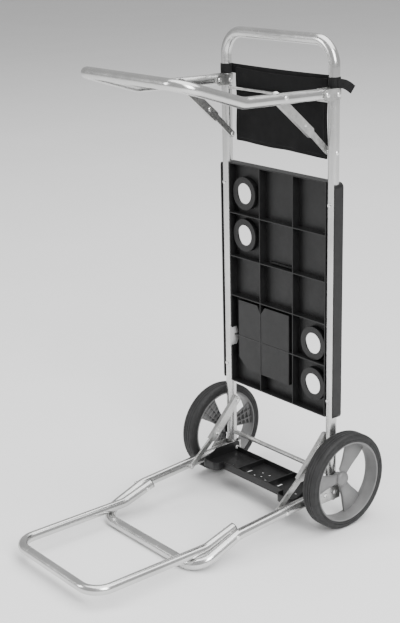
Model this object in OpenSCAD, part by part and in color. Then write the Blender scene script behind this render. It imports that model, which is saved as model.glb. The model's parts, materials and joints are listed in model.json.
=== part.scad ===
// Two-wheeled folding hand truck with a moulded table back, a fold-down upper arm,
// a fold-up toe frame and a flip-out toe extension.
// The cart stands on its wheels and on the toe cross bar, front toward -Y.

/* [Wheels] */
// Outside diameter of the carrying wheels
wheel_d = 204; // [198:1:208]
// Width of a tyre
tyre_w = 36; // [32:1:38]
// Axle rod diameter
axle_d = 10; // [8:0.5:12]

/* [Main frame] */
// Distance between the centre lines of the two uprights
frame_w = 314; // [308:1:320]
// Outside diameter of the frame tube
tube_d = 22; // [21:0.1:22]
// Wall of the frame tube
tube_wall = 1.2; // [1:0.1:2]
// Height of the centre line of the top bar
top_z = 988; // [975:1:1000]
// Centre line radius of the top corners
top_r = 48; // [40:1:52]

/* [Table back] */
// Height of the lower edge of the table panel
panel_z0 = 228; // [224:1:232]
// Height of the upper edge of the table panel
panel_z1 = 718; // [712:1:724]
// Plate thickness of the panel
panel_t = 3; // [2.5:0.1:4]
// Diameter of the round holes in the four cup rings
cup_d = 44; // [38:1:48]
// Thickness of the panel ribs
rib_t = 2.2; // [1.8:0.1:3]

/* [Upper arm] */
// Length of the raised front part of the arm
arm_len = 137.5; // [125:0.5:142]
// Centre line radius of the arm corners
arm_r = 39; // [34:1:44]

/* [Toe frame] */
// Length of the sloping front part of the toe frame
toe_len = 106; // [104:0.5:107]
// Length of the level part of the extension
ext_len = 261; // [240:0.5:270]
// Outside diameter of the extension tube
ext_d = 20; // [18:0.5:20]
// Centre line radius of the toe and extension corners
toe_r = 40; // [36:1:41]

/* [Fabric] */
// Depth of the pouch cloth slab
pouch_t = 4; // [3:0.5:4.5]
// Height of the pouch strap
strap_h = 20; // [16:1:22]

/* [Hidden] */
$fn = 96;
wr = wheel_d / 2;
hx = frame_w / 2;
tr = tube_d / 2;
ext_reach = 327.1 + ext_len;
axle_y = (ext_reach + ext_d / 2 - wr) / 2;
bend_r = 50;
arm_tilt = -17.87;
arm_rear = 204.3;
toe_tilt = 20.25;
toe_rear = 231.3;
ext_rear = 67.1;
ax_z = wr;
wheel_x = hx + 36.5;
rim_r = wr - 16.2;
rivet_r = 2.5;
run = 0.06;
gap = 0.4;
plate = 2;
in_face = hx - 11;
out_face = hx + 11;
arm_a = [-29, 891];
br_b = [-133, 896.5];
br_k = [-63, 835.5];
br_c = [-1, 777];
toe_a = [-28, 66];
st_c = [0, 181];
st_k = [-60, 118];
st_b = [-132, 59];
ext_p = [-264, 50.8];
ext_x = hx - 21.5;
ribs_z = [610, 515, 427, 339];
cups = [[-104, 655], [-104, 565], [104, 376], [104, 287.5]];
drains = [[-111, -9], [-99, -34], [-89, -57], [-17, -57], [-2, -51], [-13, -36], [7, -35], [17, -57], [110, -55], [127, -63]];

function unit(v) = v / norm(v);

// Moves work drawn about the axle line into the frame of the whole cart
module at_axle() {
  translate([0, axle_y, 0]) children();
}

module both_sides() {
  children();
  mirror([1, 0, 0]) children();
}

module left_hand() {
  mirror([1, 0, 0]) children();
}

module place(p, ex, ey, ez) {
  multmatrix([
    [ex[0], ey[0], ez[0], p[0]],
    [ex[1], ey[1], ez[1], p[1]],
    [ex[2], ey[2], ez[2], p[2]],
    [0, 0, 0, 1]
  ]) children();
}

// Outline drawn in (y, z), extruded from x0 to x1
module yz_slab(x0, x1) {
  place([x0, 0, 0], [0, 1, 0], [0, 0, 1], [1, 0, 0]) linear_extrude(x1 - x0) children();
}

// Outline drawn in (x, z), extruded from y0 to y1
module xz_slab(y0, y1) {
  place([0, y1, 0], [1, 0, 0], [0, 0, 1], [0, -1, 0]) linear_extrude(y1 - y0) children();
}

module block(x0, x1, y0, y1, z0, z1) {
  translate([x0, y0, z0]) cube([x1 - x0, y1 - y0, z1 - z0]);
}

// Round bar along X at (y, z)
module pin_x(p, x0, x1, r) {
  translate([x0, p[0], p[1]]) rotate([0, 90, 0]) cylinder(r = r, h = x1 - x0);
}

// Round bar along Y at (x, z)
module pin_y(x, z, y0, y1, r) {
  translate([x, y0, z]) rotate([-90, 0, 0]) cylinder(r = r, h = y1 - y0);
}

// Low domed rivet head along X, foot at x0, top at x0 + h (h may be negative)
module head_x(p, x0, h, r) {
  translate([x0, p[0], p[1]]) rotate([0, h > 0 ? 90 : -90, 0]) rotate_extrude()
    polygon([[0, 0], [r, 0], [r, abs(h) * 0.35], [r * 0.72, abs(h) * 0.82], [r * 0.3, abs(h)], [0, abs(h)]]);
}

module head_y(x, z, y0, h, r) {
  translate([x, y0, z]) rotate([h > 0 ? -90 : 90, 0, 0]) rotate_extrude()
    polygon([[0, 0], [r, 0], [r, abs(h) * 0.35], [r * 0.72, abs(h) * 0.82], [r * 0.3, abs(h)], [0, abs(h)]]);
}

module ring(d, wall) {
  difference() {
    circle(d = d);
    circle(d = d - 2 * wall);
  }
}

module straight_tube(p, q, d, wall) {
  l = norm(q - p);
  if (l > 0.01) {
    ez = unit(q - p);
    ex = unit(cross(abs(ez[0]) < 0.9 ? [1, 0, 0] : [0, 1, 0], ez));
    place(p, ex, cross(ez, ex), ez) linear_extrude(l) ring(d, wall);
  }
}

// Bow in its own plane: legs along +Y from the bar at y = 0, corners of radius r
module flat_bow(w, l, r, d, wall) {
  straight_tube([-w + r, 0, 0], [w - r, 0, 0], d, wall);
  both_sides() {
    straight_tube([w, r, 0], [w, l, 0], d, wall);
    translate([w - r, r, 0]) rotate([0, 0, -90]) rotate_extrude(angle = 90) translate([r, 0]) ring(d, wall);
  }
}

// Bow whose legs turn by 16.26 degrees (sine 0.28, cosine 0.96) toward s and run on by rear.
// The hinge lies past short of the leg ends, and is put at p in the (y, z) plane.
module hinged_bow(p, tilt, s, w, l, r, rear, past, d, wall) {
  k = rear - past;
  translate([0, p[0], p[1]]) rotate([tilt, 0, 0])
    translate([0, -l - 0.28 * bend_r - 0.96 * k, -s * (0.04 * bend_r + 0.28 * k)]) {
      flat_bow(w, l, r, d, wall);
      both_sides() {
        place([w, l, s * bend_r], [0, 0, -s], [0, 1, 0], [s, 0, 0])
          intersection() {
            rotate_extrude(angle = 90) translate([bend_r, 0]) ring(d, wall);
            translate([0, 0, -50]) linear_extrude(100) polygon([[0, 0], [0, -20], [150, -20], [150, 43.75]]);
          }
        place([w, l + 0.28 * bend_r, s * 0.04 * bend_r], [-1, 0, 0], [0, -s * 0.28, 0.96], [0, 0.96, s * 0.28])
          linear_extrude(rear) ring(d, wall);
      }
    }
}

// ---------------------------------------------------------------- main frame

module upright(x) {
  s = x > 0 ? 1 : -1;
  difference() {
    straight_tube([x, 0, 50], [x, 0, top_z - top_r - 6], tube_d, tube_wall);
    pin_x([0, ax_z], x - 15, x + 15, axle_d / 2);
    pin_x([0, 66], x - 15, x + 15, rivet_r);
    pin_x([0, 889], x - 15, x + 15, rivet_r);
    pin_x(br_c, x - 15, x + 15, rivet_r);
    pin_x(st_c, x - 15, x + 15, rivet_r);
    pin_x([0, 873], s > 0 ? x - 15 : x, s > 0 ? x : x + 15, 3);
    pin_y(x, 674, -15, 15, rivet_r);
    pin_y(x, 267, -15, 15, rivet_r);
  }
}

module left_upright() {
  color("silver") at_axle() upright(-hx);
}

module right_upright() {
  color("silver") at_axle() upright(hx);
}

module top_bow() {
  color("silver") at_axle()
    translate([0, 0, top_z]) rotate([-90, 0, 0]) flat_bow(hx, top_r + 6, top_r, tube_d, tube_wall);
}

module upright_plugs() {
  color("dimgray") at_axle() both_sides() translate([hx, 0, 47]) {
    cylinder(d = tube_d, h = 3);
    translate([0, 0, 3]) cylinder(d = tube_d - 2 * tube_wall, h = 8);
  }
}

// ---------------------------------------------------------------- table panel

module panel_outline(i) {
  c = 10;
  w = hx + 14 - i;
  z0 = panel_z0 + i;
  z1 = panel_z1 - i;
  translate([-w, z0 + c]) square([2 * w, z1 - z0 - 2 * c]);
  translate([-w + c, z0]) square([2 * w - 2 * c, z1 - z0]);
  for (x = [-w + c, w - c]) {
    for (z = [z0 + c, z1 - c]) {
      translate([x, z]) circle(r = c);
    }
  }
}

module side_channel_outline() {
  difference() {
    union() {
      translate([hx, 0]) circle(r = tr + 3);
      translate([hx + tr + 0.2, -9]) square([2.8, 9]);
      translate([hx - tr - 3, -8]) square([2.8, 8]);
      translate([hx - tr - 3, 0]) square([2 * tr + 6, 14]);
    }
    translate([hx, 0]) circle(r = tr + 0.2);
    translate([hx - tr - 0.2, -tr - 5]) square([2 * tr + 0.4, tr + 5]);
  }
}

module raised_block_outline(i) {
  polygon([
    [-94 + i, 267 + i], [38 - i, 267 + i], [38 - i, 420 - i], [-36, 420 - i],
    [-50, 402 - i], [-60, 420 - i], [-120 + i, 420 - i], [-120 + i, 290 + i]
  ]);
}

module table_panel() {
  color([0.17, 0.17, 0.18]) at_axle() difference() {
    intersection() {
      union() {
        block(-hx + 13.5, hx - 13.5, 9, 9 + panel_t, panel_z0, panel_z1);
        difference() {
          block(-hx + 13.5, hx - 13.5, 9 + panel_t, 14, panel_z0, panel_z1);
          block(-hx + 16, hx - 16, 9, 15, panel_z0 + 3, panel_z1 - 3);
        }
        both_sides() translate([0, 0, panel_z0]) linear_extrude(panel_z1 - panel_z0) side_channel_outline();
        block(-hx + 13.5, hx - 13.5, -8, 9.5, panel_z1 - 2.6, panel_z1);
        block(-hx + 13.5, hx - 13.5, -8, 9.5, panel_z0, panel_z0 + 2.6);
        for (z = ribs_z) {
          block(-hx + 13.5, hx - 13.5, -8, 9.5, z - rib_t / 2, z + rib_t / 2);
        }
        for (x = [-50, 50]) {
          block(x - rib_t / 2, x + rib_t / 2, -8, 9.5, panel_z0, panel_z1);
        }
        for (c = cups) {
          pin_y(c[0], c[1], -2.5, 9.5, 35);
        }
        xz_slab(-7.4, 9.5) raised_block_outline(0);
        block(-29, 38, 3, 9.5, 518.5, 522);
      }
      xz_slab(-20, 20) panel_outline(0);
    }
    for (c = cups) {
      pin_y(c[0], c[1], -10, 20, cup_d / 2);
      pin_y(c[0], c[1], 0, 20, 34);
    }
    xz_slab(-5, 20) raised_block_outline(2.4);
    both_sides() {
      pin_y(hx, 674, -20, 20, rivet_r);
      pin_y(hx, 267, -20, 20, rivet_r);
    }
    block(-hx + 14, -hx + 23, -9, 8.5, 309, 354);
  }
}

module panel_rivets() {
  color("gainsboro") at_axle() both_sides() for (z = [674, 267]) {
    pin_y(hx, z, -tr, 14, rivet_r);
    head_y(hx, z, -tr, -2.2, 4.5);
    head_y(hx, z, 14, 1.8, 4.5);
  }
}

module turn_latch() {
  color("lightgray") at_axle() intersection() {
    pin_y(-hx - 12.5, 331.5, -11, 6, 33.5);
    union() {
      block(-hx + 14.1, -hx + 22, -9, 6, 310, 353);
      block(-hx + 11.4, -hx + 22, -11, -8.2, 300, 364);
    }
  }
}

// ---------------------------------------------------------------- upper fittings

module cross_rod() {
  color("silver") at_axle() {
    pin_x([0, 873], -in_face - 1.2, in_face + 1.2, 3);
    both_sides() pin_x([0, 873], in_face - 2, in_face, 4.5);
  }
}

module arm_bracket(x) {
  difference() {
    translate([0, 0, 879]) linear_extrude(22) difference() {
      union() {
        translate([x, 0]) circle(r = tr + gap + plate);
        translate([x - tr - gap - plate, -38]) square([2 * (tr + gap + plate), 38]);
      }
      translate([x, 0]) circle(r = tr + gap);
      translate([x - tr - gap, -40]) square([2 * (tr + gap), 40]);
    }
    pin_x([0, 889], x - 20, x + 20, rivet_r);
    pin_x(arm_a, x - 20, x + 20, rivet_r);
    for (z = [870, 901 - 5]) {
      yz_slab(x - 20, x + 20) polygon([[-40, z < 880 ? 878 : 902], [-31, z < 880 ? 878 : 902], [-40, z < 880 ? 886 : 894]]);
    }
  }
}

module arm_bracket_left() {
  color("silver") at_axle() arm_bracket(-hx);
}

module arm_bracket_right() {
  color("silver") at_axle() arm_bracket(hx);
}

module arm_bracket_rivets() {
  color("gainsboro") at_axle() both_sides() for (p = [arm_a, [0, 889]]) {
    pin_x(p, hx - tr - gap - plate, hx + tr + gap + plate, rivet_r);
    head_x(p, hx + tr + gap + plate, 2, 5);
    head_x(p, hx - tr - gap - plate, -1.5, 4.5);
  }
}

module brace_pivot_rivets() {
  color("gainsboro") at_axle() both_sides() {
    pin_x(br_c, in_face, out_face, rivet_r);
    head_x(br_c, out_face, 2, 4.5);
    pin_x(br_c, in_face - 2.8, in_face, 4.5);
  }
}

module stay_pivot_rivets() {
  color("gainsboro") at_axle() both_sides() {
    pin_x(st_c, in_face - 0.2, out_face, rivet_r);
    head_x(st_c, out_face, 2, 4.5);
  }
}

// ---------------------------------------------------------------- fabric

module pouch() {
  color([0.1, 0.1, 0.1]) at_axle() xz_slab(4, 4 + pouch_t)
    polygon([
      [-134, 764], [0, 761.5], [134, 760], [134, 901], [134, 915], [100, 913],
      [50, 911.5], [0, 911], [-50, 911.5], [-100, 913], [-134, 915]
    ]);
}

module pouch_strap() {
  color([0.12, 0.12, 0.12]) at_axle() {
    translate([0, 0, 902]) linear_extrude(strap_h) {
      difference() {
        union() {
          both_sides() translate([hx, 0]) circle(r = 12.6);
          translate([-hx, 9]) square([2 * hx, 3.6]);
        }
        both_sides() translate([hx, 0]) circle(r = 11.2);
      }
    }
    translate([hx + 11.6, 2, 902]) multmatrix([
      [1, 0.3, 0, 0],
      [0, 1, 0, 0],
      [0, -0.38, 1, 0],
      [0, 0, 0, 1]
    ]) cube([1.4, 26, 17]);
  }
}

// ---------------------------------------------------------------- axle and feet

module axle() {
  color("silver") at_axle() pin_x([0, ax_z], -wheel_x + 1.5, wheel_x - 1.5, axle_d / 2);
}

module axle_spacers() {
  color("dimgray") at_axle() both_sides() difference() {
    pin_x([0, ax_z], out_face + 0.1, wheel_x - 21.3, 9);
    pin_x([0, ax_z], out_face - 1, wheel_x - 20, axle_d / 2);
  }
}

module push_nuts() {
  color("silver") at_axle() both_sides() difference() {
    pin_x([0, ax_z], wheel_x - 3.1, wheel_x - 1.9, 8);
    pin_x([0, ax_z], wheel_x - 5, wheel_x, axle_d / 2);
  }
}

module foot_bracket() {
  difference() {
    union() {
      yz_slab(hx + tr + gap, hx + tr + gap + plate) polygon([[14, 50], [14, 80], [-38, 80], [-45, 73], [-45, 57], [-38, 50]]);
      yz_slab(hx - tr - gap - plate, hx - tr - gap) polygon([[14, 50], [14, 80], [-38, 80], [-45, 73], [-45, 57], [-38, 50]]);
      block(hx - tr - gap - plate, hx + tr + gap + plate, 12, 14, 50, 80);
    }
    pin_x([0, 66], hx - 30, hx + 30, rivet_r);
    pin_x(toe_a, hx - 30, hx + 30, rivet_r);
  }
}

module foot_bracket_left() {
  color("silver") at_axle() left_hand() foot_bracket();
}

module foot_bracket_right() {
  color("silver") at_axle() foot_bracket();
}

module foot_bracket_rivets() {
  color("gainsboro") at_axle() both_sides() {
    pin_x([0, 66], hx - 16.1, hx + tr + gap + plate, rivet_r);
    head_x([0, 66], hx + tr + gap + plate, 1.6, 5);
    head_x([0, 66], hx - 16.1, -1.6, 4.5);
    pin_x(toe_a, hx - tr - gap - plate, hx + tr + gap + plate, rivet_r);
    head_x(toe_a, hx + tr + gap + plate, 1.6, 5);
  }
}

module tray_outline(i) {
  w = hx - 13.6 - i;
  translate([-w, -80 + i]) square([2 * w, 80 - 2 * i]);
  both_sides() {
    translate([95 + i, -88]) square([w - 95 - i, 12]);
    translate([107, -100 + i]) square([w - 107 - 12 + i, 20]);
    translate([107, -88]) circle(r = 12 - i);
    translate([w - 12 + i, -88]) circle(r = 12 - i);
  }
}

module bottom_tray() {
  color([0.16, 0.16, 0.17]) at_axle() difference() {
    union() {
      difference() {
        translate([0, 0, 52]) linear_extrude(17) tray_outline(0);
        translate([0, 0, 58]) linear_extrude(12) tray_outline(2);
        translate([0, 0, 51]) linear_extrude(5) tray_outline(2);
      }
      for (x = [-48, 48]) {
        block(x - 1.4, x + 1.4, -79, -1, 53, 69);
      }
      both_sides() yz_slab(hx - 16.1, hx - 13.6)
        polygon([[-80, 54], [8, 54], [8, 76], [4, 80], [-58, 80], [-80, 70]]);
    }
    for (d = drains) {
      translate([d[0], d[1], 50]) cylinder(r = 3, h = 12);
    }
    for (x = [-43, 53]) {
      block(x - 2.2, x + 2.2, -59, -43, 50, 62);
    }
    both_sides() {
      pin_x([0, 66], hx - 20, hx, rivet_r);
      pin_x([0, 66], hx - 19, hx - 16.1, 5.2);
    }
  }
}

// ---------------------------------------------------------------- wheels

module tyre() {
  translate([wheel_x, 0, ax_z]) rotate([0, 90, 0]) rotate_extrude() difference() {
    union() {
      translate([rim_r, -tyre_w / 2]) square([wr - 8 - rim_r, tyre_w]);
      translate([rim_r, -tyre_w / 2 + 8]) square([wr - rim_r, tyre_w - 16]);
      for (s = [-1, 1]) {
        translate([wr - 8, s * (tyre_w / 2 - 8)]) circle(r = 8);
      }
    }
    for (s = [-1, 1]) {
      translate([wr - 0.8, s * 6 - 0.6]) square([2, 1.2]);
      translate([wr - 11, s * tyre_w / 2 - 0.8]) square([1.2, 1.6]);
    }
  }
}

module spoke_outline(r0, w0, r1, w1) {
  polygon([[r0, -w0], [r1, -w1], [r1, w1], [r0, w0]]);
}

// Three dished spokes, open toward the frame, with edge ribs and two cross ribs
module rim(t) {
  translate([wheel_x, 0, ax_z]) rotate([0, 90, 0]) {
    difference() {
      union() {
        rotate_extrude() polygon([
          [rim_r - 5.8, -16.5], [rim_r, -16.5], [rim_r, 16.5], [rim_r - 6.4, 16.5],
          [rim_r - 6.4, 14], [rim_r - 4, 13], [rim_r - 4, -13], [rim_r - 5.8, -14]
        ]);
        translate([0, 0, -20.9]) cylinder(r = 16, h = 17.4);
        intersection() {
          rotate_extrude() polygon([
            [10, -3.5], [16, -3.5], [20, -1.8], [rim_r - 20, -3], [rim_r - 3.5, -6],
            [rim_r - 3.5, -9], [rim_r - 20, -6.2], [14, -5], [10, -6]
          ]);
          for (a = [t, t + 120, t + 240]) {
            rotate([0, 0, a]) translate([0, 0, -20]) linear_extrude(40) spoke_outline(8, 11, rim_r - 2, 25);
          }
        }
        intersection() {
          rotate_extrude() polygon([[12, -15], [12, -4], [rim_r - 20, -4.5], [rim_r - 3.5, -7.5], [rim_r - 3.5, -14], [rim_r - 20, -15]]);
          for (a = [t, t + 120, t + 240]) {
            rotate([0, 0, a]) translate([0, 0, -20]) linear_extrude(40) difference() {
              spoke_outline(8, 11, rim_r - 2, 25);
              spoke_outline(8, 8.8, rim_r - 2, 22.8);
            }
          }
        }
        for (a = [t, t + 120, t + 240]) {
          rotate([0, 0, a]) for (r = [30, 43, 56, 69]) {
            translate([r - 1, -9 - r * 0.12, -13]) cube([2, 18 + r * 0.24, 8]);
          }
        }
      }
      translate([0, 0, -30]) cylinder(r = axle_d / 2 + run, h = 40);
    }
  }
}

module hub_cap() {
  translate([wheel_x, 0, ax_z]) rotate([0, 90, 0]) rotate_extrude()
    polygon([[9.5, -3.5], [15.5, -3.5], [15.5, -0.5], [13.5, 2], [10, 3.8], [5, 4.8], [0, 5.1], [0, 3.3], [5, 3], [9.5, 1.6]]);
}

module tyre_left() {
  color([0.15, 0.15, 0.15]) at_axle() left_hand() tyre();
}

module rim_left() {
  color("lightgray") at_axle() left_hand() rim(100);
}

module hub_cap_left() {
  color("gray") at_axle() left_hand() hub_cap();
}

module tyre_right() {
  color([0.15, 0.15, 0.15]) at_axle() tyre();
}

module rim_right() {
  color("lightgray") at_axle() rim(30);
}

module hub_cap_right() {
  color("gray") at_axle() hub_cap();
}

// ---------------------------------------------------------------- upper arm

module arm_loop() {
  color("silver") at_axle() difference() {
    hinged_bow(arm_a, arm_tilt, 1, hx, arm_len, arm_r, arm_rear, 11, tube_d, tube_wall);
    both_sides() {
      pin_x(arm_a, hx - 20, hx + 20, rivet_r + run);
      pin_x(br_b, hx - 20, hx + 20, rivet_r);
    }
    translate([hx, -150, 890]) cylinder(r = 2.5, h = 30);
  }
}

module arm_brace_rivets() {
  color("gainsboro") at_axle() both_sides() {
    pin_x(br_b, in_face - 10.5, out_face, rivet_r);
    head_x(br_b, out_face, 2, 4.5);
    head_x(br_b, in_face - 10.5, -1.5, 4.5);
  }
}

module leg_button() {
  color("white") at_axle() translate([hx, -150, 894.55 + tr]) {
    rotate_extrude() polygon([[0, 0], [5, 0], [5, 1.2], [4, 2.6], [2.2, 3.4], [0, 3.6]]);
    translate([0, 0, -2.6]) cylinder(r = 2.5, h = 2.6);
  }
}

// Channel link in the (y, z) plane from p through q and on by over
module channel_link(p, q, over) {
  a = atan2(q[1] - p[1], q[0] - p[0]);
  l = norm(q - p) + over;
  difference() {
    translate([0, p[0], p[1]]) rotate([a, 0, 0]) difference() {
      yz_slab(in_face - 10.2, in_face - 0.7)
        polygon([[-8, -6], [-3, -11], [l, -11], [l, 2], [l - 5, 7], [-4, 7], [-8, 3]]);
      block(in_face - 8.7, in_face - 2.2, -20, l + 10, -9.6, 12);
    }
    pin_x(q, in_face - 20, in_face + 5, rivet_r);
  }
}

// Flat bar link from p to q
module bar_link(p, q) {
  a = atan2(q[1] - p[1], q[0] - p[0]);
  l = norm(q - p);
  translate([0, p[0], p[1]]) rotate([a, 0, 0]) yz_slab(in_face - 7.5, in_face - 3.5) {
    translate([0, -6.2]) square([l, 12.4]);
    circle(r = 6.2);
    translate([l, 0]) circle(r = 6.2);
  }
}

module link_rivet(p) {
  pin_x(p, in_face - 10.2, in_face - 0.7, rivet_r);
  head_x(p, in_face - 10.2, -1.5, 4.5);
  if (p != st_c) {
    head_x(p, in_face - 0.7, 0.5, 3.6);
  }
}

module brace_channel() {
  difference() {
    channel_link(br_b, br_k, 27);
    pin_x(br_b, in_face - 20, in_face + 5, rivet_r + run);
  }
}

module brace_bar() {
  difference() {
    bar_link(br_k, br_c);
    pin_x(br_k, in_face - 20, in_face + 5, rivet_r + run);
    pin_x(br_c, in_face - 20, in_face + 5, rivet_r);
  }
}

module brace_stud() {
  pin_x(br_c, in_face - 7.5, in_face - 3.5, rivet_r);
  head_x(br_c, in_face - 7.5, -1.5, 4.5);
}

module brace_channel_left() {
  color("gray") at_axle() left_hand() brace_channel();
}

module brace_channel_right() {
  color("gray") at_axle() brace_channel();
}

module brace_knee_left() {
  color("gainsboro") at_axle() left_hand() link_rivet(br_k);
}

module brace_knee_right() {
  color("gainsboro") at_axle() link_rivet(br_k);
}

module brace_bar_left() {
  color("silver") at_axle() left_hand() brace_bar();
}

module brace_bar_right() {
  color("silver") at_axle() brace_bar();
}

module brace_stud_left() {
  color("gainsboro") at_axle() left_hand() brace_stud();
}

module brace_stud_right() {
  color("gainsboro") at_axle() brace_stud();
}

// ---------------------------------------------------------------- toe frame

module toe_frame() {
  color("silver") at_axle() difference() {
    hinged_bow(toe_a, toe_tilt, -1, hx, toe_len, toe_r, toe_rear, 11, tube_d, tube_wall);
    both_sides() {
      pin_x(toe_a, hx - 20, hx + 20, rivet_r + run);
      pin_x(st_b, hx - 20, hx + 20, rivet_r);
      pin_x(ext_p, hx - 20, hx + 20, rivet_r);
    }
  }
}

module stay_foot_rivets() {
  color("gainsboro") at_axle() both_sides() {
    pin_x(st_b, in_face - 7.8, out_face, rivet_r);
    pin_x(st_b, in_face - 3.2, in_face - 0.1, 4.5);
    head_x(st_b, out_face, 2, 4.5);
    head_x(st_b, in_face - 7.8, -1.5, 4.5);
  }
}

module extension_rivets() {
  color("gainsboro") at_axle() both_sides() {
    pin_x(ext_p, ext_x - ext_d / 2 - 0.3, out_face, rivet_r);
    head_x(ext_p, out_face, 2, 4.5);
    head_x(ext_p, ext_x - ext_d / 2 - 0.3, -1.6, 4.5);
  }
}

module extension_loop() {
  color("silver") at_axle() difference() {
    hinged_bow(ext_p, 0, 1, ext_x, ext_len, toe_r, ext_rear, 16, ext_d, tube_wall);
    both_sides() pin_x(ext_p, ext_x - 20, ext_x + 20, rivet_r + run);
  }
}

module extension_plugs() {
  color([0.1, 0.1, 0.1]) at_axle() both_sides() {
    a = [ext_x, ext_p[0] + 15.36, ext_p[1] + 4.48];
    b = [ext_x, ext_p[0] + 17.28, ext_p[1] + 5.04];
    c = [ext_x, ext_p[0] + 8.64, ext_p[1] + 2.52];
    straight_tube(a, b, ext_d, ext_d / 2 - 3);
    straight_tube(c, b, ext_d - 2 * tube_wall, 2);
  }
}

module stay_bar() {
  difference() {
    bar_link(st_k, st_b);
    pin_x(st_k, in_face - 20, in_face + 5, rivet_r + run);
    pin_x(st_b, in_face - 20, in_face + 5, rivet_r + run);
  }
}

module stay_channel() {
  difference() {
    channel_link(st_c, st_k, 20);
    pin_x(st_c, in_face - 20, in_face + 5, rivet_r);
  }
}

module stay_bar_left() {
  color("silver") at_axle() left_hand() stay_bar();
}

module stay_bar_right() {
  color("silver") at_axle() stay_bar();
}

module stay_channel_left() {
  color("gray") at_axle() left_hand() stay_channel();
}

module stay_channel_right() {
  color("gray") at_axle() stay_channel();
}

module stay_knee() {
  link_rivet(st_k);
  link_rivet(st_c);
}

module stay_knee_left() {
  color("gainsboro") at_axle() left_hand() stay_knee();
}

module stay_knee_right() {
  color("gainsboro") at_axle() stay_knee();
}

left_upright();
right_upright();
top_bow();
upright_plugs();
table_panel();
panel_rivets();
turn_latch();
cross_rod();
arm_bracket_left();
arm_bracket_right();
arm_bracket_rivets();
brace_pivot_rivets();
stay_pivot_rivets();
pouch();
pouch_strap();
axle();
axle_spacers();
push_nuts();
foot_bracket_left();
foot_bracket_right();
foot_bracket_rivets();
bottom_tray();
tyre_left();
rim_left();
hub_cap_left();
tyre_right();
rim_right();
hub_cap_right();
arm_loop();
arm_brace_rivets();
leg_button();
brace_channel_left();
brace_channel_right();
brace_knee_left();
brace_knee_right();
brace_bar_left();
brace_bar_right();
brace_stud_left();
brace_stud_right();
toe_frame();
stay_foot_rivets();
extension_rivets();
extension_loop();
extension_plugs();
stay_bar_left();
stay_bar_right();
stay_channel_left();
stay_channel_right();
stay_knee_left();
stay_knee_right();
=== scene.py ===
import bpy, bmesh, math, json
from mathutils import Matrix, Vector


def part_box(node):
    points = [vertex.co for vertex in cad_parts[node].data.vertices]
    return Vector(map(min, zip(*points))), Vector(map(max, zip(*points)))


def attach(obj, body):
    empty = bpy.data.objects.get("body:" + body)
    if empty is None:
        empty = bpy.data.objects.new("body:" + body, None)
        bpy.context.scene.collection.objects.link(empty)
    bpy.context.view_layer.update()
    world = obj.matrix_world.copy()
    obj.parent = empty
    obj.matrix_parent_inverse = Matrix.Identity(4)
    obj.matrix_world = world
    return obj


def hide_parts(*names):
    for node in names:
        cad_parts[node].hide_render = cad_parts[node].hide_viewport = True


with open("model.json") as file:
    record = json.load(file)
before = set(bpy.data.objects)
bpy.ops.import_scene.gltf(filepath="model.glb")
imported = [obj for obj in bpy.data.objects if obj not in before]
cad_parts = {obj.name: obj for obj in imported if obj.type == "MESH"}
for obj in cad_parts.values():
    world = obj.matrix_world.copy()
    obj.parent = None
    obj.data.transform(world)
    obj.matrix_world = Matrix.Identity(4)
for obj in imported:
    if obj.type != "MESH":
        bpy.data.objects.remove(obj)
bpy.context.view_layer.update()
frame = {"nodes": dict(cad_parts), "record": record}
NODES = frame["nodes"]
RECORD = frame["record"]
BODY = {node: body for body, nodes in RECORD["behaviour"]["bodies"].items() for node in nodes}
SLOT = {part["node"]: part["material_slot"] for part in RECORD["subparts"]}
MM = 0.001


def centre(node):
    lo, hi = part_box(node)
    return (lo + hi) / 2


# The axle line, which most places are worked out from
AY = centre("axle").y
AZ = centre("axle").z

# ------------------------------------------------------------------ materials


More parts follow.
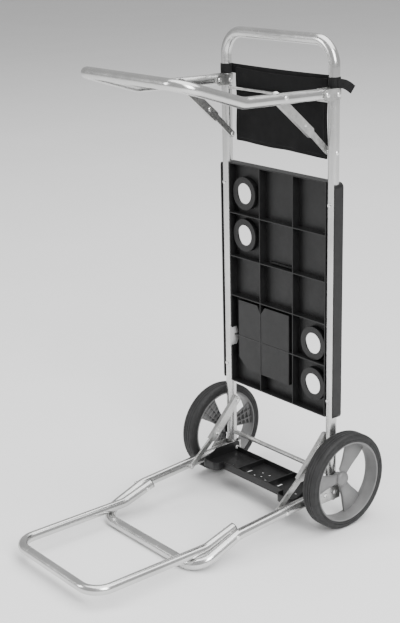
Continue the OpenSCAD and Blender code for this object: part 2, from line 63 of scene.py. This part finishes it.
class Nodes:
    """A Principled material with object coordinates in metres."""

    def __init__(self, name, rough, metal=0.0, **sockets):
        self.m = bpy.data.materials.new(name)
        self.m.use_nodes = True
        self.t = self.m.node_tree
        self.p = self.t.nodes["Principled BSDF"]
        self.p.inputs["Roughness"].default_value = rough
        self.p.inputs["Metallic"].default_value = metal
        for k, v in sockets.items():
            self.p.inputs[k.replace("_", " ")].default_value = v
        self.co = self.t.nodes.new("ShaderNodeTexCoord").outputs["Object"]

    def put(self, kind, **values):
        n = self.t.nodes.new(kind)
        for k, v in values.items():
            if hasattr(n, k):
                setattr(n, k, v)
            else:
                n.inputs[k.replace("_", " ")].default_value = v
        return n

    def link(self, a, b):
        self.t.links.new(a, b)

    def noise(self, scale, detail=3.0, rough=0.55, co=None):
        n = self.put("ShaderNodeTexNoise", Scale=scale, Detail=detail, Roughness=rough)
        self.link(co or self.co, n.inputs["Vector"])
        return n.outputs["Fac"]

    def ramp(self, fac, stops):
        r = self.put("ShaderNodeValToRGB")
        e = r.color_ramp.elements
        while len(e) < len(stops):
            e.new(0.5)
        for el, (at, c) in zip(e, stops):
            el.position = at
            el.color = (*c, 1) if hasattr(c, "__len__") else (c, c, c, 1)
        self.link(fac, r.inputs["Fac"])
        return r.outputs["Color"]

    def span(self, fac, lo, hi, a=0.3, b=0.7):
        r = self.put("ShaderNodeMapRange")
        for i, v in zip(("From Min", "From Max", "To Min", "To Max"), (a, b, lo, hi)):
            r.inputs[i].default_value = v
        self.link(fac, r.inputs["Value"])
        return r.outputs["Result"]

    def colour(self, fac, a, b, lo=0.3, hi=0.7):
        self.link(self.ramp(fac, [(lo, a), (hi, b)]), self.p.inputs["Base Color"])

    def rough(self, fac, lo, hi, a=0.3, b=0.7):
        self.link(self.span(fac, lo, hi, a, b), self.p.inputs["Roughness"])

    def bump(self, fac, depth, strength=1.0, then=None):
        n = self.put("ShaderNodeBump", Strength=strength, Distance=depth)
        self.link(fac, n.inputs["Height"])
        if then:
            self.link(then, n.inputs["Normal"])
        self.link(n.outputs["Normal"], self.p.inputs["Normal"])
        return n.outputs["Normal"]

    def mix(self, a, b, kind="MULTIPLY"):
        n = self.put("ShaderNodeMath", operation=kind)
        self.link(a, n.inputs[0])
        self.link(b, n.inputs[1])
        return n.outputs[0]


def tube_metal():
    s = Nodes("tube_metal", 0.3, 0.92)
    big = s.noise(9, 2)
    fine = s.noise(900, 4, 0.7)
    s.colour(big, (0.50, 0.50, 0.495), (0.64, 0.64, 0.635))
    s.rough(s.noise(60, 5, 0.65), 0.17, 0.28)
    s.bump(fine, 0.00002, 0.5, s.bump(s.noise(45, 2), 0.0002, 0.35))
    return s.m


def plated(name, a, b, lo, hi):
    s = Nodes(name, 0.35, 0.9)
    s.colour(s.noise(70, 4, 0.6), a, b)
    s.rough(s.noise(240, 4, 0.65), lo, hi)
    s.bump(s.noise(1300, 3, 0.7), 0.00003, 0.5)
    return s.m


def plastic(name, a, b, lo, hi, grain=1500, depth=0.00005, spec=0.5):
    s = Nodes(name, 0.5, 0.0, Specular_IOR_Level=spec)
    s.colour(s.noise(26, 4, 0.6), a, b)
    s.rough(s.noise(110, 4, 0.65), lo, hi)
    v = s.put("ShaderNodeTexVoronoi", Scale=grain)
    s.link(s.co, v.inputs["Vector"])
    s.bump(v.outputs["Distance"], depth, 0.55, s.bump(s.noise(30, 2), 0.0004, 0.35))
    return s.m


def cloth():
    s = Nodes("woven_cloth", 0.85, 0.0, Sheen_Weight=0.03, Sheen_Roughness=0.45, Specular_IOR_Level=0.15)
    threads = []
    for direction in ("X", "Z"):
        wave = s.put(
            "ShaderNodeTexWave", wave_type="BANDS", bands_direction=direction, Scale=330.0, Distortion=0.25
        )
        wave.inputs["Detail Scale"].default_value = 30
        s.link(s.co, wave.inputs["Vector"])
        threads.append(wave.outputs["Fac"])
    weave = s.mix(*threads)
    tone = s.mix(weave, s.noise(14, 4, 0.6), "ADD")
    s.colour(tone, (0.0025, 0.0025, 0.0027), (0.007, 0.007, 0.0074), 0.3, 1.5)
    s.rough(s.noise(40, 4), 0.78, 0.92)
    s.bump(weave, 0.0002, 0.7, s.bump(s.noise(22, 3), 0.0015, 0.5))
    return s.m


def webbing():
    s = Nodes("woven_webbing", 0.8, 0.0, Sheen_Weight=0.04, Sheen_Roughness=0.4, Specular_IOR_Level=0.2)
    rib = s.put("ShaderNodeTexWave", wave_type="BANDS", bands_direction="Z", Scale=170.0, Distortion=0.4)
    s.link(s.co, rib.inputs["Vector"])
    tone = s.mix(rib.outputs["Fac"], s.noise(500, 3), "ADD")
    s.colour(tone, (0.0025, 0.0025, 0.0027), (0.008, 0.008, 0.0084), 0.4, 1.5)
    s.rough(s.noise(60, 3), 0.7, 0.88)
    s.bump(rib.outputs["Fac"], 0.00025, 0.8)
    return s.m


def thread():
    s = Nodes("stitch_thread", 0.75)
    s.colour(s.noise(900, 2), (0.008, 0.008, 0.008), (0.02, 0.02, 0.02))
    s.bump(s.noise(2500, 2), 0.0001, 0.6)
    return s.m


def rubber():
    s = Nodes("tyre_rubber", 0.62, 0.0, Specular_IOR_Level=0.4)
    s.colour(s.noise(30, 5, 0.65), (0.010, 0.010, 0.0103), (0.020, 0.020, 0.0205))
    s.rough(s.noise(80, 4, 0.6), 0.5, 0.72)
    s.bump(s.noise(1100, 3, 0.7), 0.00008, 0.6)
    return s.m


def floor_paint():
    s = Nodes("studio_floor", 0.75)
    s.colour(s.noise(2.0, 2), (0.9, 0.9, 0.9), (0.92, 0.92, 0.92))
    return s.m


TUBE = tube_metal()
STEEL = plated("zinc_plate", (0.40, 0.40, 0.395), (0.56, 0.56, 0.55), 0.24, 0.38)
RIVET = plated("rivet_metal", (0.68, 0.68, 0.67), (0.82, 0.82, 0.81), 0.2, 0.32)
BLACK = plastic("moulded_black", (0.0055, 0.0055, 0.0057), (0.0105, 0.0105, 0.0108), 0.36, 0.48, spec=0.36)
PLUG = plastic("plug_black", (0.006, 0.006, 0.006), (0.013, 0.013, 0.013), 0.45, 0.6, spec=0.35)
LATCH = plastic("moulded_pale_grey", (0.36, 0.36, 0.36), (0.43, 0.43, 0.43), 0.38, 0.5)
WHITE = plastic("moulded_white", (0.76, 0.76, 0.75), (0.84, 0.84, 0.83), 0.25, 0.35)
RIM = plastic("rim_grey", (0.135, 0.135, 0.135), (0.18, 0.18, 0.18), 0.42, 0.55)
CAP = plastic("cap_grey", (0.13, 0.13, 0.13), (0.175, 0.175, 0.175), 0.3, 0.42)
RUBBER = rubber()
CLOTH = cloth()
WEB = webbing()
THREAD = thread()

SLOT_MATERIAL = {
    "frame_tube": TUBE, "plated_steel": STEEL, "rivet_steel": RIVET, "black_plastic": BLACK,
    "plug_plastic": PLUG, "grey_plastic": LATCH, "white_plastic": WHITE, "black_cloth": CLOTH,
    "tyre_rubber": RUBBER, "rim_plastic": RIM, "cap_plastic": CAP,
}
for node, obj in NODES.items():
    obj.data.materials.clear()
    obj.data.materials.append(SLOT_MATERIAL[SLOT[node]])

# ------------------------------------------------------------------ mesh helpers

PLATE_AREA = 1e-4
THIN = 400


def plate_faces(bm):
    """Faces that are large and not thin: the flat sides of a plate."""
    found = []
    for f in bm.faces:
        area = f.calc_area()
        length = sum(e.calc_length() for e in f.edges)
        if area > PLATE_AREA and length ** 2 < THIN * area:
            found.append(f.index)
    return found


def finish_piece(name, bm, material, body, node=None, slot=None, smooth=40, plates=False):
    """Makes the object: smooth up to the given angle, with the broad flat faces of a plate kept flat."""
    me = bpy.data.meshes.new(name)
    bmesh.ops.recalc_face_normals(bm, faces=bm.faces)
    bm.faces.index_update()
    flat = plate_faces(bm) if plates else []
    bm.to_mesh(me)
    bm.free()
    obj = bpy.data.objects.new(name, me)
    bpy.context.scene.collection.objects.link(obj)
    me.materials.append(material)
    for p in me.polygons:
        p.use_smooth = True
    me.set_sharp_from_angle(angle=math.radians(smooth))
    for i in flat:
        me.polygons[i].use_smooth = False
    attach(obj, body)
    if node:
        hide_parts(node)
    if slot or node:
        slot or SLOT[node]
    return obj


def sheet_faces(bm, grid, n_a, n_b, turn_far=False):
    """Closes a grid of (layer, a, b) corners into one thin solid.

    turn_far starts the faces of the far layer and far edges at another corner, which sets their diagonals.
    """
    def face(far, *corners):
        vs = [grid[c] for c in corners]
        bm.faces.new(vs[::-1] if far and turn_far else vs)

    for a in range(n_a):
        for b in range(n_b):
            for layer in (0, 1):
                face(layer == 1, (layer, a, b), (layer, a + 1, b), (layer, a + 1, b + 1), (layer, a, b + 1))
    for a in range(n_a):
        for b in (0, n_b):
            face(b == n_b, (0, a, b), (1, a, b), (1, a + 1, b), (0, a + 1, b))
    for b in range(n_b):
        for a in (0, n_a):
            face(a == n_a, (0, a, b), (0, a, b + 1), (1, a, b + 1), (1, a, b))


def lathe(bm, profile, x0, sign, segs=144, closed=True):
    """Turns (r, x) points about the axle line; sign mirrors x."""
    rings = []
    for k in range(segs):
        a = 2 * math.pi * k / segs
        y, z = math.cos(a), math.sin(a)
        rings.append([bm.verts.new((x0 + sign * x, AY + r * y, AZ + r * z)) for r, x in profile])
    n = len(profile)
    for k in range(segs):
        p, q = rings[k], rings[(k + 1) % segs]
        for i in range(n if closed else n - 1):
            j = (i + 1) % n
            bm.faces.new((p[i], p[j], q[j], q[i]))
    return rings


def dome(bm, profile, x0, sign, segs=72):
    """As lathe, with the last point on the axis."""
    rings = lathe(bm, profile[:-1], x0, sign, segs, False)
    tip = bm.verts.new((x0 + sign * profile[-1][1], AY, AZ))
    for k in range(segs):
        bm.faces.new((rings[k][-1], rings[(k + 1) % segs][-1], tip))


def in_metres(points):
    return [(a * MM, b * MM) for a, b in points]


# ------------------------------------------------------------------ wheels

SIDES = (("left", -1), ("right", 1))
TYRE_DEPTH = 16.2 * MM
SHOULDER = 8 * MM
SHOULDER_GROOVE = 0.6 * MM
WALL_GROOVE = 0.7 * MM
TREAD_PITCH = 6.5
# Cross-section of a tread groove: millimetres along the axle, and below the tread
TREAD_GROOVE = ((-1.0, 0), (-0.6, 0.9), (0.6, 0.9), (1.0, 0))


def make_tyre(side, sign):
    """Solid tyre with a groove on each wall and shoulder and three round the tread."""
    node = "tyre_" + side
    lo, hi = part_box(node)
    r_out = (hi.z - lo.z) / 2
    r_in = r_out - TYRE_DEPTH
    wall = (hi.x - lo.x) / 2

    def shoulder(degrees, sunk=0.0):
        """Points round the shoulder, from the wall to the tread."""
        r = SHOULDER - sunk
        turns = [math.radians(d) for d in degrees]
        return [(r_out - SHOULDER + r * math.sin(t), SHOULDER - wall - r * math.cos(t)) for t in turns]

    half = [
        (r_in, 0.5 * MM - wall), (r_in + 0.5 * MM, -wall),
        (r_out - 12.5 * MM, -wall), (r_out - 12.0 * MM, WALL_GROOVE - wall),
        (r_out - 10.9 * MM, WALL_GROOVE - wall), (r_out - 10.4 * MM, -wall),
    ]
    half += shoulder((0, 15, 30)) + shoulder((34, 41), SHOULDER_GROOVE) + shoulder((45, 60, 75, 86))
    half += [(r_out - depth * MM, (dx - TREAD_PITCH) * MM) for dx, depth in TREAD_GROOVE]
    half += [(r_out - depth * MM, dx * MM) for dx, depth in TREAD_GROOVE[:2]]
    mirrored = [(r, -x) for r, x in reversed(half)]
    bm = bmesh.new()
    lathe(bm, half + mirrored, centre(node).x, sign, 160)
    return finish_piece(node + "_look", bm, RUBBER, BODY[node], node, smooth=38)


# Where the first of the three blades points, in degrees from straight back toward up
FIRST_BLADE = {"right": -62, "left": -110}
# Rim barrel: depth below its seat and place along the axle, in millimetres
BARREL = (
    (0, -16.4), (0, 16.4), (0.7, 17.0), (2.6, 17.0), (3.6, 16.2), (4.0, 13.5), (4.6, 6), (5.6, -2),
    (6.2, -6), (5.6, -10), (4.6, -14), (4.2, -16.2), (3.2, -17.0), (0.7, -17.0),
)
# Hub: radius and place along the axle, in millimetres
HUB = (
    (5.1, -20.8), (9.5, -20.8), (10.5, -20.0), (11.5, -14), (13.5, -8), (15.6, -5.0), (16.2, -3.6),
    (15.6, -3.4), (5.1, -3.4),
)
BLADE_START = 12
BLADE_END = 80.6
BLADE_WALL = 2.3
BLADE_RIBS = (26, 37, 48, 59, 70)
EDGE_RIB_STEP = 8
RIB_LOW = -12.5


def blade_half(r):
    """Half width of a blade at radius r, in millimetres: a waist near the hub, wide at the rim."""
    t = max(0.0, (r - 13) / (81 - 13))
    return 10.5 - math.sin(math.pi * min(1, t * 1.5)) + 18.0 * t ** 1.25


def make_blade(bm, at):
    """One dished blade; at turns (radius, offset, place along the axle) in millimetres into a point."""
    n_r, n_w = 22, 14
    grid = {}
    for layer in (0, 1):
        for i in range(n_r + 1):
            r = BLADE_START + (BLADE_END - BLADE_START) * i / n_r
            out = (r - BLADE_START) / 69
            crown = 1.25 * 5.2 * (1 - 0.35 * (r / 80))
            lift = -3.2 - 3.0 * out ** 2 + 1.2 * math.sin(math.pi * out)
            for j in range(n_w + 1):
                s = -1 + 2 * j / n_w
                x = lift - crown * (1 - math.sqrt(max(0.0, 1 - 0.93 * s * s))) - 2.4 * s * (r / 80)
                if layer:
                    x -= BLADE_WALL
                    s *= 0.955
                y = blade_half(r) * s
                reach = math.sqrt(r * r - y * y) if i == n_r else r - 0.12 * abs(y) * (r / 80)
                grid[layer, i, j] = bm.verts.new(at(reach, y, x))
    sheet_faces(bm, grid, n_r, n_w, turn_far=True)


def make_rib(bm, at, axis, ends, tops, thick, low=RIB_LOW):
    """A thin rib on the hollow side of a blade, between two (radius, offset) ends."""
    a0, a1 = [at(*end, 0) for end in ends]
    across = (a1 - a0).normalized().cross(axis).normalized() * (thick / 2 * MM)
    vs = []
    for base, top in ((a0, tops[0]), (a1, tops[1])):
        for x, q in ((top, 1), (top, -1), (low, -1), (low, 1)):
            vs.append(bm.verts.new(base + axis * (x * MM) + across * q))
    for face in ((0, 1, 2, 3), (7, 6, 5, 4), (0, 4, 5, 1), (1, 5, 6, 2), (2, 6, 7, 3), (3, 7, 4, 0)):
        bm.faces.new([vs[k] for k in face])


def make_rim(side, sign):
    """Barrel, hub and three blades, ribbed on the side toward the frame."""
    node = "rim_" + side
    x0 = centre("tyre_" + side).x
    lo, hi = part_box(node)
    seat = (hi.z - lo.z) / 2 - 0.1 * MM
    bm = bmesh.new()
    lathe(bm, [(seat - depth * MM, x * MM) for depth, x in BARREL], x0, sign, 160)
    lathe(bm, in_metres(HUB), x0, sign, 72)
    axis = Vector((sign, 0, 0))
    for k in range(3):
        a = math.radians(FIRST_BLADE[side] + 120 * k)
        out = Vector((0, math.cos(a), math.sin(a)))
        across = Vector((0, -math.sin(a), math.cos(a)))

        def at(r, y, x):
            return Vector((x0, AY, AZ)) + out * (r * MM) + across * (y * MM) + axis * (x * MM)

        make_blade(bm, at)
        for s in (-0.34, 0.34):
            ends = [(r, s * blade_half(r)) for r in (15, 79)]
            make_rib(bm, at, axis, ends, (-4.8, -7.4), 1.6, low=-13)
        for r in BLADE_RIBS:
            w = 0.9 * blade_half(r)
            make_rib(bm, at, axis, ((r, -w), (r, 0)), (-7.0, -4.9), 1.5)
            make_rib(bm, at, axis, ((r, 0), (r, w)), (-4.9, -7.0), 1.5)
        for s in (-0.93, 0.93):
            for r in range(15, 79, EDGE_RIB_STEP):
                ends = [(q, s * blade_half(q)) for q in (r, r + EDGE_RIB_STEP)]
                make_rib(bm, at, axis, ends, (-7.6, -7.8), 1.7)
    return finish_piece(node + "_look", bm, RIM, BODY[node], node, smooth=42)


# Hub cap: radius and place along the axle, in millimetres
CAP_OUTSIDE = (
    (9.5, -3.3), (15.4, -3.3), (15.7, -2.6), (15.4, -0.9), (14.8, 0.2), (13.6, 1.4), (12, 2.5),
    (9.5, 3.6), (6.5, 4.5), (3.2, 5.0), (0, 5.1),
)
CAP_INSIDE = ((9.5, -3.3), (9.4, 1.4), (0, 1.6))


def make_cap(side, sign):
    node = "hub_cap_" + side
    x0 = centre("tyre_" + side).x
    bm = bmesh.new()
    dome(bm, in_metres(CAP_OUTSIDE), x0, sign)
    dome(bm, in_metres(CAP_INSIDE), x0, sign)
    bmesh.ops.remove_doubles(bm, verts=bm.verts, dist=1e-6)
    return finish_piece(node + "_look", bm, CAP, BODY[node], node, smooth=50)


for side, sign in SIDES:
    make_tyre(side, sign)
    make_rim(side, sign)
    make_cap(side, sign)

# ------------------------------------------------------------------ plates and mouldings with rounded edges

# Edge radius in millimetres; a star stands for left and right
ROUNDED = (
    ("table_panel", 0.7), ("bottom_tray", 0.5), ("turn_latch", 0.6), ("arm_bracket_*", 0.4),
    ("foot_bracket_*", 0.4), ("brace_channel_*", 0.3), ("stay_channel_*", 0.3), ("brace_bar_*", 0.4),
    ("stay_bar_*", 0.4), ("upright_plugs", 0.6), ("extension_plugs", 0.5),
)
BEVEL_ANGLE = math.radians(28)
SLOT_EDGES = (-40.8 * MM, 55.2 * MM)
SLOT_SHIFT = 4.6 * MM


def widen_slots(bm):
    """Opens the tray's two slots toward +X, so that light shows through them from above."""
    for v in bm.verts:
        y = v.co.y - AY
        if -59.5 * MM < y < -42.5 * MM and 55 * MM < v.co.z < 59 * MM:
            for x in SLOT_EDGES:
                if abs(v.co.x - x) < 0.3 * MM:
                    v.co.x += SLOT_SHIFT


def softened(node, width):
    """The CAD node with its sharp edges rounded."""
    bm = bmesh.new()
    bm.from_mesh(NODES[node].data)
    if node == "bottom_tray":
        widen_slots(bm)
    bmesh.ops.remove_doubles(bm, verts=bm.verts, dist=2e-6)
    bmesh.ops.dissolve_limit(bm, angle_limit=math.radians(1.0), verts=bm.verts, edges=bm.edges)
    edges = [e for e in bm.edges if len(e.link_faces) == 2 and e.calc_face_angle(0) > BEVEL_ANGLE]
    bmesh.ops.bevel(
        bm, geom=edges, offset=width, segments=2, profile=0.5, affect="EDGES", clamp_overlap=True
    )
    material = SLOT_MATERIAL[SLOT[node]]
    return finish_piece(node + "_soft", bm, material, BODY[node], node, smooth=35, plates=True)


for name, width in ROUNDED:
    for node in dict.fromkeys(name.replace("*", side) for side, sign in SIDES):
        softened(node, width * MM)

# ------------------------------------------------------------------ cloth pouch

CLOTH_HALF = 1.1 * MM
HEM = 9 * MM
HEM_FADE = 1.5 * MM
HEM_LIFT = 0.55 * MM
STITCH_HALF = 1.3


def pouch_top(u):
    """Height of the top edge across the width, u from -1 to 1."""
    return 0.9150 - 0.0040 * (1 - u * u)


def pouch_low(u):
    return 0.7620 - 0.0020 * u + 0.0006 * math.sin(u * 5.2)


def hem_lift(to_low, to_side):
    """How far a turned hem stands off the cloth, from the distances to the lower and side edges."""
    lift = 0.0
    for d in (to_low, to_side):
        if d < HEM:
            lift = HEM_LIFT
        elif d < HEM + HEM_FADE:
            lift = HEM_LIFT * (HEM + HEM_FADE - d) / HEM_FADE
    return lift


def stitch(bm, p, along, face, y):
    """One stitch at p, lying on the cloth's face (-1 front, 1 back) at depth y."""
    across = along.cross(Vector((0, 1, 0)))
    vs = []
    for s, w, h in ((-1, 0.25, 0.0), (-0.6, 0.35, 0.28), (0.6, 0.35, 0.28), (1, 0.25, 0.0)):
        for q in (-1, 1):
            lift = Vector((0, y + face * h * MM, 0))
            vs.append(bm.verts.new(p + along * (s * STITCH_HALF * MM) + across * (q * w * MM) + lift))
    for k in range(3):
        bm.faces.new([vs[2 * k], vs[2 * k + 1], vs[2 * k + 3], vs[2 * k + 2]])
    bm.faces.new([vs[k] for k in (0, 2, 4, 6, 7, 5, 3, 1)])


def make_pouch():
    """The stretched cloth with its hems and slight waves, then the stitches along the hems."""
    lo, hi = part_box("pouch")
    yc = (lo.y + hi.y) / 2
    hw = (hi.x - lo.x) / 2 - 0.5 * MM
    nx, nz = 134, 78
    bm = bmesh.new()
    grid = {}
    for layer, face in ((0, -1), (1, 1)):
        for i in range(nx + 1):
            u = -1 + 2 * i / nx
            held = math.sin(math.pi * min(1, max(0, (1 - abs(u)) * 3)) / 2)
            pull = 1.2 * MM * math.copysign(abs(u) ** 6, u)
            for k in range(nz + 1):
                v = k / nz
                z = pouch_low(u) + (pouch_top(u) - pouch_low(u)) * v
                wave = 0.9 * math.sin(7.5 * u + 2.2 * v + 0.6) + 0.6 * math.sin(13 * u - 5 * v)
                fold = 0.7 * math.exp(-((v - 0.62 - 0.10 * u) / 0.05) ** 2)
                lift = CLOTH_HALF + hem_lift(z - pouch_low(u), (1 - abs(u)) * hw)
                y = yc + face * lift + (wave * (1 - v) + fold) * MM * held
                grid[layer, i, k] = bm.verts.new((u * hw + pull * (math.sin(9 * v) - 1), y, z))
    sheet_faces(bm, grid, nx, nz)
    pouch = finish_piece("pouch_cloth", bm, CLOTH, "main_frame", "pouch", smooth=60)

    bm = bmesh.new()
    low_count, side_count = 62, 34
    for face in (-1, 1):
        y = face * 1.72 * MM
        for k in range(low_count):
            u = -0.93 + 1.86 * (k + 0.5) / low_count
            stitch(bm, Vector((u * hw, yc, pouch_low(u) + 7.5 * MM)), Vector((1, 0, 0)), face, y)
        for k in range(side_count):
            v = 0.06 + 0.80 * (k + 0.5) / side_count
            for s in (-1, 1):
                z = pouch_low(s) + (pouch_top(s) - pouch_low(s)) * v
                stitch(bm, Vector((s * (hw - 8.5 * MM), yc, z)), Vector((0, 0, 1)), face, y)
    finish_piece("pouch_stitches", bm, THREAD, "main_frame", None, "black_cloth")


# ------------------------------------------------------------------ band round the uprights

BAND_Z = 0.9115
BAND_R = 11.9 * MM
BAND_HALF = 9.8 * MM
BAND_THICK = 1.3 * MM


def ribbon(bm, path, up, half, thick, steps=6):
    """A flat band swept along path; up gives its width direction at each point."""
    rows = []
    for i, p in enumerate(path):
        along = (path[min(len(path) - 1, i + 1)] - path[max(0, i - 1)]).normalized()
        w = (up[i] - along * up[i].dot(along)).normalized()
        n = along.cross(w).normalized()
        front, back = [], []
        for s in range(steps + 1):
            t = -1 + 2 * s / steps
            bulge = n * (thick / 2 * (1 - 0.5 * abs(t) ** 4))
            front.append(bm.verts.new(p + w * (half * t) + bulge))
            back.append(bm.verts.new(p + w * (half * t) - bulge))
        rows.append(front + back[::-1])
    m = len(rows[0])
    for a, b in zip(rows, rows[1:]):
        for k in range(m):
            bm.faces.new([a[k], a[(k + 1) % m], b[(k + 1) % m], b[k]])
    bm.faces.new(rows[0][::-1])
    bm.faces.new(rows[-1])


def round_upright(x, z, first, last):
    """Band points round an upright, by degrees from +X toward the back."""
    turns = [math.radians(a) for a in range(first, last - 1, -10)]
    return [Vector((x + BAND_R * math.cos(t), AY + BAND_R * math.sin(t), z)) for t in turns]


def make_strap():
    """One webbing band round both uprights and behind the pouch, with its free tail at one end."""
    x0 = centre("right_upright").x
    bm = bmesh.new()
    behind = []
    n = 40
    for k in range(1, n):
        u = -1 + 2 * k / n
        y = AY + 11.7 * MM - 0.3 * MM * math.cos(u * math.pi)
        behind.append(Vector((u * x0, y, BAND_Z - 1.5 * MM * (1 - u * u))))
    left = round_upright(-x0, BAND_Z + 0.5 * MM, 20, -280)
    right = round_upright(x0, BAND_Z - 0.4 * MM, 80, -120)
    band = left + behind + right
    ribbon(bm, band, [Vector((0, 0, 1))] * len(band), BAND_HALF, BAND_THICK)
    tail = []
    ups = []
    for k in range(15):
        t = k / 14
        x = x0 + (12.8 + 8.5 * t + 2 * math.sin(3 * t)) * MM
        y = AY + (31 * t - 3) * MM
        z = BAND_Z - (2 + 12.5 * t ** 1.4 - 1.5 * math.sin(4 * t)) * MM
        tail.append(Vector((x, y, z)))
        ups.append(Vector((0.10 * t, 0.32 * t, 1)))
    ribbon(bm, tail, ups, 8.8 * MM, 1.4 * MM)
    return finish_piece("pouch_band", bm, WEB, "main_frame", "pouch_strap", smooth=60)


make_strap()
make_pouch()

# ------------------------------------------------------------------ floor, light and camera


def make_floor():
    """A plain floor just under the wheels."""
    bm = bmesh.new()
    bmesh.ops.create_grid(bm, x_segments=4, y_segments=4, size=14)
    me = bpy.data.meshes.new("floor")
    bm.to_mesh(me)
    bm.free()
    floor = bpy.data.objects.new("floor", me)
    bpy.context.scene.collection.objects.link(floor)
    me.materials.append(floor_paint())
    floor.location.z = -0.4 * MM


def area(name, at, look, size, power):
    """A rectangular light at a place, turned to look at a point."""
    light = bpy.data.lights.new(name, "AREA")
    light.shape = "RECTANGLE"
    light.size, light.size_y = size
    light.energy = power
    obj = bpy.data.objects.new(name, light)
    bpy.context.scene.collection.objects.link(obj)
    obj.location = at
    obj.rotation_mode = "QUATERNION"
    obj.rotation_quaternion = (Vector(look) - Vector(at)).to_track_quat("-Z", "Y")


def make_camera(place, azimuth, elevation, roll, lens):
    """A camera that looks down by elevation, from azimuth degrees round from the front toward +X."""
    a, e, t = [math.radians(v) for v in (azimuth, elevation, roll)]
    look = Vector((-math.sin(a) * math.cos(e), math.cos(a) * math.cos(e), -math.sin(e)))
    right = Vector((math.cos(a), math.sin(a), 0))
    up = right.cross(look)
    rolled_right = right * math.cos(t) + up * math.sin(t)
    rolled_up = up * math.cos(t) - right * math.sin(t)
    cam = bpy.data.objects.new("camera", bpy.data.cameras.new("camera"))
    bpy.context.scene.collection.objects.link(cam)
    cam.data.lens = lens
    cam.data.sensor_width = 36
    cam.data.clip_end = 100
    turn = Matrix((rolled_right, rolled_up, -look)).transposed()
    cam.matrix_world = Matrix.Translation(place) @ turn.to_4x4()
    bpy.context.scene.camera = cam


make_floor()
world = bpy.data.worlds.new("studio")
bpy.context.scene.world = world
world.use_nodes = True
world.node_tree.nodes["Background"].inputs["Color"].default_value = (1, 1, 1, 1)
world.node_tree.nodes["Background"].inputs["Strength"].default_value = 0.5
area("key", (2.6, -0.6, 2.4), (0, 0.1, 0.5), (1.3, 2.2), 120)
area("fill", (-1.8, -2.6, 1.8), (0, 0, 0.4), (0.7, 1.6), 34)
area("top", (0.2, 1.2, 6.0), (0, 1.2, 0), (7.0, 7.0), 520)
# The sensor's 36 mm runs along the height of the upright picture
make_camera((1.903228, AY - 1.750703, 1.247377), 51.046, 17.706, -1.308, lens=74.8246)
